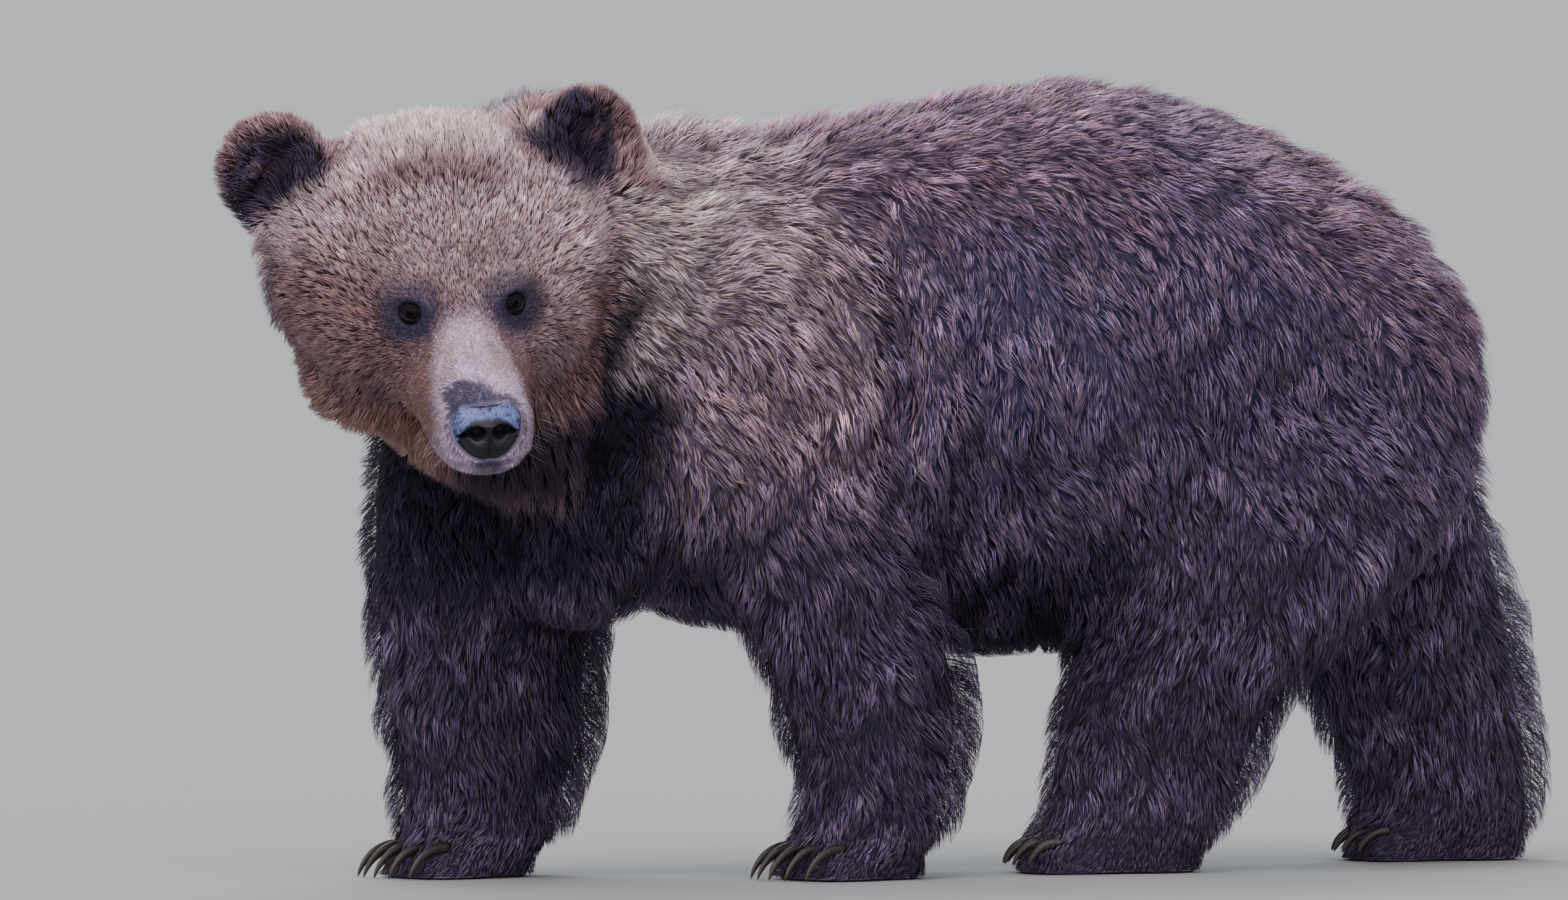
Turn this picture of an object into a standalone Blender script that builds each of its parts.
"""Brown bear, life size: one still solid body parted into the pieces a person would name.

Units are metres and +Z is up. The bear faces -Y, its left side is +X and its four soles lie on z = 0.
The body is built from its big muscle and coat masses, merged into one smooth form, and then parted
with flat cuts that leave a hair-thin gap between neighbours.
"""

import math
from dataclasses import dataclass

import bmesh
import bpy
from mathutils import Matrix, Vector

# Driving sizes
GAP = 0.0004                      # clear space left between two parted pieces
FORM_VOXEL = 0.010                # grid of the merged body form
FORM_SMOOTHING = 6                # smoothing rounds on the body form
RING_POINTS = 28                  # points round a lofted mass

WITHERS = Vector((0.0, -0.20, 0.0))      # plan place of the shoulder girdle
CROUP = Vector((0.0, 0.62, 0.0))         # plan place of the hip girdle
CHEST_YAW = math.radians(10.0)           # chest turned to the bear's left
PELVIS_YAW = math.radians(-12.0)         # pelvis turned to the bear's right

EYE_LINE = Vector((0.268, -0.565, 0.668))   # midway between the eyes
HEAD_YAW = math.radians(78.0)            # head turned to the left
HEAD_PITCH = math.radians(26.0)          # nose carried down
HEAD_ROLL = math.radians(6.0)            # right ear a little lower
EYE_SPACING = 0.116
EYE_RADIUS = 0.0125

FORE_LENGTH, FORE_WIDTH = 0.185, 0.150   # front paw
HIND_LENGTH, HIND_WIDTH = 0.235, 0.140   # hind paw
PAW_HEIGHT = 0.085
CLAWS_PER_PAW = 5


# Frames -----------------------------------------------------------------------------------------

def girdle(place, yaw):
    """A frame on the ground at a girdle: x across to the left, y to the rear, z up."""
    return Matrix.Translation(place) @ Matrix.Rotation(yaw, 4, "Z")


CHEST = girdle(WITHERS, CHEST_YAW)
PELVIS = girdle(CROUP, PELVIS_YAW)


def head_frame():
    """The head's frame: x to its left, y to its rear, z up, with the eyes on its x axis."""
    turn = Matrix.Rotation(HEAD_YAW, 4, "Z") @ Matrix.Rotation(HEAD_PITCH, 4, "X")
    return Matrix.Translation(EYE_LINE) @ turn @ Matrix.Rotation(-HEAD_ROLL, 4, "Y")


HEAD = head_frame()


# Masses ----------------------------------------------------------------------------------------

@dataclass
class Ring:
    """One oval section of a lofted mass: its centre and its two half-size vectors."""
    centre: Vector
    across: Vector
    upward: Vector


def flat_ring(x, y, z, half_x, half_y):
    """A level section, as through a leg."""
    return Ring(Vector((x, y, z)), Vector((half_x, 0, 0)), Vector((0, half_y, 0)))


def upright_ring(x, y, z, half_x, half_z, yaw=0.0):
    """A section that stands upright, as through a trunk or a muzzle."""
    across = Vector((math.cos(yaw), math.sin(yaw), 0)) * half_x
    return Ring(Vector((x, y, z)), across, Vector((0, 0, half_z)))


def between(before, start, end, after, share):
    """The point of a smooth curve that passes through start and end."""
    bend = (2 * start, end - before, 2 * before - 5 * start + 4 * end - after,
            3 * start - before - 3 * end + after)
    return 0.5 * (bend[0] + share * (bend[1] + share * (bend[2] + share * bend[3])))


def smooth_rings(rings, steps=4):
    """The rings with more of them between, on smooth curves."""
    ends = [rings[0]] + list(rings) + [rings[-1]]
    found = []
    for i in range(1, len(ends) - 2):
        for step in range(steps):
            share = step / steps
            found.append(Ring(*(
                between(getattr(ends[i - 1], part), getattr(ends[i], part),
                        getattr(ends[i + 1], part), getattr(ends[i + 2], part), share)
                for part in ("centre", "across", "upward"))))
    found.append(rings[-1])
    return found


def add_loft(bm, frame, rings, points=RING_POINTS, steps=4):
    """A closed mass through the rings, with a low dome at each end."""
    rings = smooth_rings(rings, steps)
    loops = []
    for ring in rings:
        along = ring.across.cross(ring.upward).normalized()
        shape = Matrix((ring.across, ring.upward, along)).transposed().to_4x4()
        shape.translation = ring.centre
        made = bmesh.ops.create_circle(bm, segments=points, radius=1.0, matrix=frame @ shape)
        loops.append(made["verts"])
    for first, second in zip(loops, loops[1:]):
        for i in range(points):
            j = (i + 1) % points
            bm.faces.new((first[i], first[j], second[j], second[i]))
    for loop, inner in ((loops[0], loops[1]), (loops[-1], loops[-2])):
        middle = sum((vert.co for vert in loop), Vector()) / points
        step = middle - sum((vert.co for vert in inner), Vector()) / points
        size = sum((vert.co - middle).length for vert in loop) / points
        tip = bm.verts.new(middle + step.normalized() * size * 0.35)
        for i in range(points):
            bm.faces.new((loop[i], loop[(i + 1) % points], tip))


def add_ellipsoid(bm, frame, centre, half, turn=(0.0, 0.0, 0.0)):
    """A rounded muscle mass; turn is about x, y and z in degrees."""
    place = Matrix.Translation(centre)
    for axis, angle in zip("XYZ", turn):
        place = place @ Matrix.Rotation(math.radians(angle), 4, axis)
    place = place @ Matrix.Diagonal((*half, 1.0))
    bmesh.ops.create_uvsphere(bm, u_segments=24, v_segments=16, radius=1.0,
                              matrix=frame @ place)


def object_of(name, bm):
    """A new object that holds the bmesh's shape, with its faces turned outwards."""
    bmesh.ops.recalc_face_normals(bm, faces=bm.faces)
    mesh = bpy.data.meshes.new(name)
    bm.to_mesh(mesh)
    bm.free()
    made = bpy.data.objects.new(name, mesh)
    bpy.context.scene.collection.objects.link(made)
    return made


def settle(target):
    """Replaces the object's mesh by what its modifiers make of it."""
    bpy.context.view_layer.update()
    graph = bpy.context.evaluated_depsgraph_get()
    mesh = bpy.data.meshes.new_from_object(target.evaluated_get(graph))
    target.modifiers.clear()
    target.data = mesh
    return target


def merged(name, bm, voxel, rounds):
    """The masses as one smooth closed form."""
    form = object_of(name, bm)
    grid = form.modifiers.new("merge", "REMESH")
    grid.mode = "VOXEL"
    grid.voxel_size = voxel
    ease = form.modifiers.new("ease", "SMOOTH")
    ease.factor = 0.5
    ease.iterations = rounds
    return settle(form)


def thinned(form, name, triangles):
    """A copy of the form with about this many triangles."""
    copy = bpy.data.objects.new(name, form.data.copy())
    bpy.context.scene.collection.objects.link(copy)
    lighter = copy.modifiers.new("lighter", "DECIMATE")
    lighter.ratio = triangles / sum(len(face.vertices) - 2 for face in form.data.polygons)
    lighter.use_collapse_triangulate = True
    return settle(copy)


# Body masses -----------------------------------------------------------------------------------

def add_trunk(bm):
    """Barrel of the body, from the breast to the rump, on a spine that bends to the left."""
    stations = (
        # along y, side x, top z, bottom z, half width
        (-0.33, 0.010, 0.760, 0.400, 0.130),
        (-0.22, 0.000, 0.845, 0.320, 0.195),
        (-0.05, -0.022, 0.882, 0.285, 0.225),
        (0.13, -0.036, 0.928, 0.268, 0.245),
        (0.30, -0.040, 0.957, 0.262, 0.255),
        (0.46, -0.030, 0.947, 0.290, 0.245),
        (0.62, 0.000, 0.886, 0.360, 0.225),
        (0.76, 0.030, 0.800, 0.420, 0.180),
        (0.84, 0.045, 0.710, 0.480, 0.110),
    )
    rings = []
    for y, x, top, bottom, half in stations:
        share = (y - WITHERS.y) / (CROUP.y - WITHERS.y)
        yaw = CHEST_YAW + min(max(share, 0.0), 1.0) * (PELVIS_YAW - CHEST_YAW)
        rings.append(upright_ring(x, y, (top + bottom) / 2, half, (top - bottom) / 2, yaw))
    add_loft(bm, Matrix.Identity(4), rings)


def add_neck(bm):
    """Thick neck with its mane, bending left from the withers to the back of the head."""
    rings = (
        upright_ring(0.000, -0.08, 0.625, 0.185, 0.230, math.radians(15)),
        upright_ring(0.020, -0.22, 0.620, 0.200, 0.245, math.radians(20)),
        upright_ring(0.065, -0.36, 0.655, 0.195, 0.235, math.radians(32)),
        upright_ring(0.105, -0.45, 0.675, 0.190, 0.205, math.radians(48)),
        upright_ring(0.140, -0.50, 0.680, 0.165, 0.160, math.radians(64)),
    )
    add_loft(bm, Matrix.Identity(4), rings)
    add_ellipsoid(bm, Matrix.Identity(4), (0.085, -0.395, 0.850), (0.060, 0.090, 0.066))


def add_foreleg(bm, side, rings):
    """Shoulder, upper arm and forearm of one foreleg."""
    add_loft(bm, CHEST, [flat_ring(side * x, y, z, half_x, half_y)
                         for x, y, z, half_x, half_y in rings], points=24)


def add_paw(bm, frame, centre, length, width, height):
    """A flat-soled paw: a heel mass and a toe mass, and the rounded toes along its front."""
    x, y = centre
    add_ellipsoid(bm, frame, (x, y + 0.16 * length, height * 0.45),
                  (width * 0.44, length * 0.36, height * 0.62))
    add_ellipsoid(bm, frame, (x, y - 0.16 * length, height * 0.36),
                  (width * 0.50, length * 0.34, height * 0.60))
    for toe in range(CLAWS_PER_PAW):
        across = (toe - (CLAWS_PER_PAW - 1) / 2) / ((CLAWS_PER_PAW - 1) / 2)
        ahead = 0.40 - 0.07 * across * across
        add_ellipsoid(bm, frame, (x + across * width * 0.38, y - ahead * length, height * 0.27),
                      (width * 0.125, length * 0.13, height * 0.33))


LEFT_FOREPAW = (0.162, 0.165)
RIGHT_FOREPAW = (-0.150, -0.185)
LEFT_HINDPAW = (0.140, -0.250)
RIGHT_HINDPAW = (-0.140, 0.232)


def add_legs(bm):
    """The four legs in mid stride: right fore and left hind forward, the others back."""
    add_foreleg(bm, 1, (
        (0.120, -0.010, 0.640, 0.085, 0.150),
        (0.140, 0.010, 0.520, 0.100, 0.165),
        (0.152, 0.080, 0.400, 0.100, 0.150),
        (0.158, 0.160, 0.280, 0.096, 0.140),
        (0.160, 0.190, 0.170, 0.088, 0.126),
        (0.162, 0.190, 0.090, 0.079, 0.102),
        (0.162, 0.172, 0.030, 0.074, 0.090),
    ))
    add_foreleg(bm, -1, (
        (0.115, -0.085, 0.640, 0.088, 0.205),
        (0.135, -0.118, 0.520, 0.100, 0.205),
        (0.145, -0.150, 0.400, 0.100, 0.176),
        (0.150, -0.158, 0.280, 0.096, 0.155),
        (0.150, -0.152, 0.170, 0.089, 0.142),
        (0.150, -0.158, 0.090, 0.080, 0.118),
        (0.150, -0.172, 0.030, 0.074, 0.096),
    ))
    add_loft(bm, PELVIS, [flat_ring(x, y, z, half_x, half_y) for x, y, z, half_x, half_y in (
        (0.105, 0.010, 0.650, 0.090, 0.170),
        (0.140, 0.005, 0.520, 0.110, 0.215),
        (0.155, -0.055, 0.400, 0.110, 0.212),
        (0.150, -0.130, 0.290, 0.099, 0.180),
        (0.142, -0.185, 0.190, 0.085, 0.146),
        (0.140, -0.208, 0.110, 0.074, 0.134),
        (0.140, -0.235, 0.030, 0.070, 0.112),
    )], points=24)
    add_loft(bm, PELVIS, [flat_ring(x, y, z, half_x, half_y) for x, y, z, half_x, half_y in (
        (-0.105, 0.045, 0.650, 0.090, 0.170),
        (-0.135, 0.075, 0.520, 0.108, 0.205),
        (-0.148, 0.120, 0.400, 0.106, 0.200),
        (-0.145, 0.168, 0.290, 0.097, 0.170),
        (-0.142, 0.208, 0.190, 0.085, 0.146),
        (-0.140, 0.232, 0.100, 0.074, 0.130),
        (-0.140, 0.243, 0.030, 0.070, 0.112),
    )], points=24)
    add_paw(bm, CHEST, LEFT_FOREPAW, FORE_LENGTH, FORE_WIDTH, PAW_HEIGHT)
    add_paw(bm, CHEST, RIGHT_FOREPAW, FORE_LENGTH, FORE_WIDTH, PAW_HEIGHT)
    add_paw(bm, PELVIS, LEFT_HINDPAW, HIND_LENGTH, HIND_WIDTH, PAW_HEIGHT)
    add_paw(bm, PELVIS, RIGHT_HINDPAW, HIND_LENGTH, HIND_WIDTH, PAW_HEIGHT)


def add_muscles(bm):
    """The hump, shoulder blades, haunches and breast that swell the barrel."""
    add_ellipsoid(bm, CHEST, (0.0, 0.03, 0.79), (0.130, 0.150, 0.105))
    for side in (-1, 1):
        add_ellipsoid(bm, CHEST, (side * 0.135, 0.00, 0.62), (0.085, 0.150, 0.190),
                      (side * 8, 0, 0))
        add_ellipsoid(bm, PELVIS, (side * 0.125, 0.03, 0.60), (0.110, 0.190, 0.170))
    add_ellipsoid(bm, CHEST, (0.0, -0.085, 0.490), (0.170, 0.145, 0.200), (-20, 0, 0))
    add_ellipsoid(bm, PELVIS, (0.0, 0.212, 0.600), (0.044, 0.036, 0.085), (-10, 0, 0))


# Head masses -----------------------------------------------------------------------------------

EAR_RADIUS, EAR_THICKNESS = 0.072, 0.030
EAR_PLACE = Vector((0.180, 0.222, 0.085))
EYE_PLACE = Vector((EYE_SPACING / 2, 0.010, -0.006))


def ear_frame(side):
    """An ear's own frame at its middle: y to the rear, z up along the ear."""
    place = Matrix.Translation((side * EAR_PLACE.x, EAR_PLACE.y, EAR_PLACE.z))
    lean = Matrix.Rotation(math.radians(side * 34), 4, "Y")
    face = Matrix.Rotation(math.radians(side * 14), 4, "Z")
    return HEAD @ place @ face @ lean @ Matrix.Rotation(math.radians(-14), 4, "X")


def add_head(bm):
    """Skull, cheeks, brow, muzzle and chin, out to the tips of the short coat."""
    profile = (
        # along y, top z, bottom z, half width
        (0.330, 0.095, -0.100, 0.150),
        (0.240, 0.132, -0.138, 0.178),
        (0.160, 0.124, -0.154, 0.174),
        (0.100, 0.086, -0.152, 0.150),
        (0.055, 0.048, -0.150, 0.126),
        (0.015, 0.014, -0.148, 0.100),
        (-0.030, -0.014, -0.147, 0.078),
        (-0.080, -0.028, -0.147, 0.068),
        (-0.130, -0.037, -0.147, 0.063),
        (-0.156, -0.048, -0.144, 0.056),
        (-0.167, -0.062, -0.136, 0.042),
    )
    add_loft(bm, HEAD, [upright_ring(0, y, (top + bottom) / 2, half, (top - bottom) / 2)
                        for y, top, bottom, half in profile], points=32)
    for side in (-1, 1):
        add_ellipsoid(bm, HEAD, (side * 0.112, 0.180, -0.020), (0.103, 0.130, 0.120))
        add_ellipsoid(bm, HEAD, (side * 0.096, 0.098, -0.060), (0.076, 0.098, 0.084))
        add_ellipsoid(bm, HEAD, (side * 0.052, 0.037, 0.018), (0.043, 0.034, 0.018),
                      (0, side * 12, 0))
        add_ellipsoid(bm, HEAD, (side * 0.080, 0.150, -0.112), (0.095, 0.130, 0.078))


def add_nose(bm, growth=0.0):
    """The nose pad, broad above and cut back below."""
    add_loft(bm, HEAD, (
        upright_ring(0, -0.122 + growth, -0.072, 0.030 + growth, 0.026 + growth),
        upright_ring(0, -0.150, -0.075, 0.039 + growth, 0.033 + growth),
        upright_ring(0, -0.166, -0.080, 0.038 + growth, 0.033 + growth),
        upright_ring(0, -0.176 - growth, -0.084, 0.030 + growth, 0.025 + growth),
    ), points=14, steps=2)


def add_ears(bm):
    """Two thick rounded ears."""
    for side in (-1, 1):
        add_ellipsoid(bm, ear_frame(side), (0, 0, 0), (EAR_RADIUS, EAR_THICKNESS, EAR_RADIUS))
        add_ellipsoid(bm, ear_frame(side), (0, 0.010, -0.050), (0.058, 0.036, 0.055))


# Claws, eyes -----------------------------------------------------------------------------------

def add_claw(bm, frame, toe, length, growth=0.0):
    """One curved claw that grows from the front of a toe, its tip clear of the floor."""
    sizes = (1.0, 0.88, 0.60, 0.24)
    angle, spot = math.radians(8.0), Vector(toe)
    rings = []
    for size in sizes:
        rings.append(Ring(spot.copy(), Vector((0.0048 * size + growth, 0, 0)),
                          Vector((0, math.sin(angle), math.cos(angle)))
                          * (0.0070 * size + growth)))
        spot += Vector((0, -math.cos(angle), math.sin(angle))) * length / len(sizes)
        angle -= math.radians(16.0)
    add_loft(bm, frame, rings, points=5, steps=1)


def toes(centre, length, width):
    """The middle of each toe's front, where a claw starts."""
    x, y = centre
    half = (CLAWS_PER_PAW - 1) / 2
    for toe in range(CLAWS_PER_PAW):
        across = (toe - half) / half
        ahead = 0.44 - 0.07 * across * across
        yield (x + across * width * 0.38, y - ahead * length, PAW_HEIGHT * 0.44)


def add_eye(bm, side, growth=0.0):
    """One eyeball, set in under the brow."""
    size = EYE_RADIUS + growth
    place = HEAD @ Matrix.Translation((side * EYE_PLACE.x, EYE_PLACE.y, EYE_PLACE.z))
    bmesh.ops.create_icosphere(bm, subdivisions=2, radius=size, matrix=place)


# Regions ---------------------------------------------------------------------------------------

def block(frame, low, high):
    """A closed box between two corners of the frame."""
    bm = bmesh.new()
    middle = (Vector(low) + Vector(high)) / 2
    size = Vector(high) - Vector(low)
    bmesh.ops.create_cube(bm, size=1.0, matrix=frame @ Matrix.Translation(middle)
                          @ Matrix.Diagonal((*size, 1.0)))
    return bm


def wedge(frame, x_range, z_range, front_range, rear_range):
    """A box whose front and rear faces lean: y runs from front to rear at each height."""
    bm = bmesh.new()
    corners = []
    for z, front, rear in zip(z_range, front_range, rear_range):
        for x, y in ((x_range[0], front), (x_range[1], front), (x_range[1], rear),
                     (x_range[0], rear)):
            corners.append(bm.verts.new(frame @ Vector((x, y, z))))
    bmesh.ops.convex_hull(bm, input=corners)
    return bm


def as_cutter(name, bm, growth=0.0):
    """A hidden cutter; growth pushes its faces outwards by that much."""
    cutter = object_of(name, bm)
    if growth:
        widen = bmesh.new()
        widen.from_mesh(cutter.data)
        bmesh.ops.triangulate(widen, faces=widen.faces)
        widen.normal_update()
        for vert in widen.verts:
            vert.co += vert.normal * vert.calc_shell_factor() * growth
        widen.to_mesh(cutter.data)
        widen.free()
    cutter.hide_render = True
    cutter.display_type = "WIRE"
    return cutter


def cut(target, cutter, operation):
    """Cuts the target, then drops the cutter."""
    tool = target.modifiers.new(operation.lower(), "BOOLEAN")
    tool.operation = operation
    tool.solver = "EXACT"
    tool.object = cutter
    settle(target)
    bpy.data.objects.remove(cutter)
    return target


# Finishes --------------------------------------------------------------------------------------

COATS = {
    "brown_coat": ((0.085, 0.055, 0.042), 0.85),
    "dark_coat": ((0.035, 0.024, 0.022), 0.85),
    "short_coat": ((0.120, 0.088, 0.070), 0.80),
    "nose_skin": ((0.020, 0.021, 0.025), 0.40),
    "eyeball": ((0.060, 0.025, 0.010), 0.08),
    "claw_horn": ((0.070, 0.055, 0.042), 0.45),
}


def finish(name):
    """The material of this name, made once."""
    if name in bpy.data.materials:
        return bpy.data.materials[name]
    colour, roughness = COATS[name]
    made = bpy.data.materials.new(name)
    made.use_nodes = True
    shader = made.node_tree.nodes["Principled BSDF"]
    shader.inputs["Base Color"].default_value = (*colour, 1.0)
    shader.inputs["Roughness"].default_value = roughness
    shader.inputs["Metallic"].default_value = 0.0
    return made


def dress(target, coat):
    """Gives the object this finish alone."""
    target.data.materials.clear()
    target.data.materials.append(finish(coat))


# Parting ---------------------------------------------------------------------------------------

MUZZLE_BACK, MOUTH_LEVEL = -0.014, -0.122
WRIST_LEVEL, ELBOW_LEVEL = 0.078, 0.262
FORE_TOP, HIND_TOP = 0.62, 0.60
LEG_INNER, LEG_OUTER = 0.045, 0.36


@dataclass
class Leg:
    """A leg's region in its girdle frame: how its front and rear edges lean with height."""
    name: str
    frame: Matrix
    side: int
    top: float
    front: tuple
    rear: tuple
    paw: tuple
    length: float
    width: float
    claw: float

    def region(self, low, high):
        """The slice of the leg's region between two heights."""
        edges = [[start + (end - start) * z / self.top for z in (low, high)]
                 for start, end in (self.front, self.rear)]
        reach = sorted((self.side * LEG_INNER, self.side * LEG_OUTER))
        return wedge(self.frame, reach, (low, high), *edges)


LEGS = (
    Leg("foreleg_left", CHEST, 1, FORE_TOP, (0.00, -0.18), (0.40, 0.20),
        LEFT_FOREPAW, FORE_LENGTH, FORE_WIDTH, 0.062),
    Leg("foreleg_right", CHEST, -1, FORE_TOP, (-0.36, -0.36), (0.03, 0.13),
        RIGHT_FOREPAW, FORE_LENGTH, FORE_WIDTH, 0.062),
    Leg("hindleg_left", PELVIS, 1, HIND_TOP, (-0.42, -0.22), (-0.05, 0.30),
        LEFT_HINDPAW, HIND_LENGTH, HIND_WIDTH, 0.042),
    Leg("hindleg_right", PELVIS, -1, HIND_TOP, (0.05, -0.22), (0.43, 0.36),
        RIGHT_HINDPAW, HIND_LENGTH, HIND_WIDTH, 0.042),
)

HEAD_BOX = ((-0.235, -0.24, -0.200), (0.235, 0.275, 0.30))
MUZZLE_BOX = ((-0.10, -0.24, MOUTH_LEVEL), (0.10, MUZZLE_BACK, 0.06))
JAW_BOX = ((-0.10, -0.24, -0.24), (0.10, 0.030, MOUTH_LEVEL))
EAR_BOX = ((-0.11, -0.060, -0.040), (0.11, 0.046, 0.12))
TAIL_BOX = ((-0.050, 0.200, 0.515), (0.050, 0.34, 0.70))
TRUNK_BOX = ((-0.60, -1.00, 0.20), (0.60, 1.40, 1.10))
NECK_TOP, NECK_FOOT = 1.05, 0.50
NECK_REACH = (-0.60, 0.60)
NECK_REAR = (-0.395, -0.06)        # y of the neck's rear face at its foot and its top


def regions():
    """Each node's region by name, in the order in which they take their share of the body."""
    found = {}
    for side, word in ((1, "left"), (-1, "right")):
        found[f"ear_{word}"] = lambda side=side: block(ear_frame(side), *EAR_BOX)
    found["lower_jaw"] = lambda: block(HEAD, *JAW_BOX)
    found["muzzle"] = lambda: block(HEAD, *MUZZLE_BOX)
    found["head"] = lambda: block(HEAD, *HEAD_BOX)
    for leg in LEGS:
        for part, low, high in (("paw", 0.0, WRIST_LEVEL), ("lower", WRIST_LEVEL, ELBOW_LEVEL),
                                ("upper", ELBOW_LEVEL, leg.top)):
            found[f"{leg.name}_{part}"] = lambda leg=leg, low=low, high=high: (
                leg.region(low, high))
    found["tail"] = lambda: block(PELVIS, *TAIL_BOX)
    found["neck"] = lambda: wedge(Matrix.Identity(4), NECK_REACH, (NECK_FOOT, NECK_TOP),
                                  (-1.0, -1.0), NECK_REAR)
    found["trunk"] = lambda: block(Matrix.Identity(4), *TRUNK_BOX)
    return found



def yields():
    """The neighbours whose regions each node gives way to."""
    found = {
        "head": ("ear_left", "ear_right", "lower_jaw", "muzzle"),
        "muzzle": ("lower_jaw",),
        "neck": ("ear_left", "ear_right", "head", "foreleg_left_upper", "foreleg_right_upper"),
        "tail": ("hindleg_left_upper", "hindleg_right_upper"),
        "trunk": tuple(f"{leg.name}_{part}" for leg in LEGS for part in ("upper", "lower"))
        + ("head", "lower_jaw", "neck", "tail"),
    }
    for leg in LEGS:
        found[f"{leg.name}_lower"] = (f"{leg.name}_paw",)
        found[f"{leg.name}_upper"] = (f"{leg.name}_lower", "head")
    return found


# Triangles of the whole form that each node is cut from, fine for the head and the paws
FINENESS = {"head": 7200, "muzzle": 9500, "lower_jaw": 7200, "ear_left": 7200,
            "ear_right": 7200, "trunk": 2100, "neck": 2100, "tail": 2100}
LEG_FINENESS = {"paw": 3800, "lower": 2100, "upper": 2100}


def body_form():
    """The whole body as one smooth closed form."""
    bm = bmesh.new()
    for add in (add_trunk, add_neck, add_legs, add_muscles, add_head, add_ears):
        add(bm)
    return merged("form", bm, FORM_VOXEL, FORM_SMOOTHING)


def small_pieces():
    """Nose, eyes and claws, with the shape that each takes out of its neighbour when grown."""
    found = [("nose", "nose_skin", "muzzle", lambda bm, growth: add_nose(bm, growth))]
    for side, word in ((1, "left"), (-1, "right")):
        found.append((f"eye_{word}", "eyeball", "head",
                      lambda bm, growth, side=side: add_eye(bm, side, growth)))
    for leg in LEGS:
        for number, toe in enumerate(toes(leg.paw, leg.length, leg.width), 1):
            found.append((f"claw_{leg.name}_{number}", "claw_horn", f"{leg.name}_paw",
                          lambda bm, growth, leg=leg, toe=toe: add_claw(
                              bm, leg.frame, toe, leg.claw, growth)))
    return found


def fineness(name):
    """How many triangles the whole form has where this node is cut from it."""
    if name in FINENESS:
        return FINENESS[name]
    return LEG_FINENESS[name.rsplit("_", 1)[-1]]


def coat_of(name):
    """The finish of a part of the body."""
    if name in ("muzzle", "lower_jaw"):
        return "short_coat"
    return "dark_coat" if "leg_" in name else "brown_coat"


def build():
    """All the nodes by name, the whole centred over the origin with its soles on z = 0."""
    for old in list(bpy.data.objects):
        bpy.data.objects.remove(old)
    form = body_form()
    takes = regions()
    ways = yields()
    nodes = {}
    levels = {}
    for name, region in takes.items():
        count = fineness(name)
        if count not in levels:
            levels[count] = thinned(form, f"form_{count}", count)
        node = bpy.data.objects.new(name, levels[count].data.copy())
        bpy.context.scene.collection.objects.link(node)
        cut(node, as_cutter("region", region()), "INTERSECT")
        for other in ways.get(name, ()):
            cut(node, as_cutter("region", takes[other](), GAP), "DIFFERENCE")
        dress(node, coat_of(name))
        nodes[name] = node
    for name, coat, host, add in small_pieces():
        bm = bmesh.new()
        add(bm, 0.0)
        nodes[name] = object_of(name, bm)
        dress(nodes[name], coat)
        grown = bmesh.new()
        add(grown, GAP)
        cut(nodes[host], as_cutter("socket", grown), "DIFFERENCE")
        dress(nodes[host], coat_of(host))
    for spare in (form, *levels.values()):
        bpy.data.objects.remove(spare)
    corners = [vert.co for node in nodes.values() for vert in node.data.vertices]
    low, high = (Vector(pick(corner[i] for corner in corners) for i in range(3))
                 for pick in (min, max))
    shift = Matrix.Translation((-(low.x + high.x) / 2, -(low.y + high.y) / 2, -low.z))
    for node in nodes.values():
        node.data.transform(shift)
        node.data.set_sharp_from_angle(angle=math.radians(50))
    return nodes


if __name__ == "__main__":
    build()
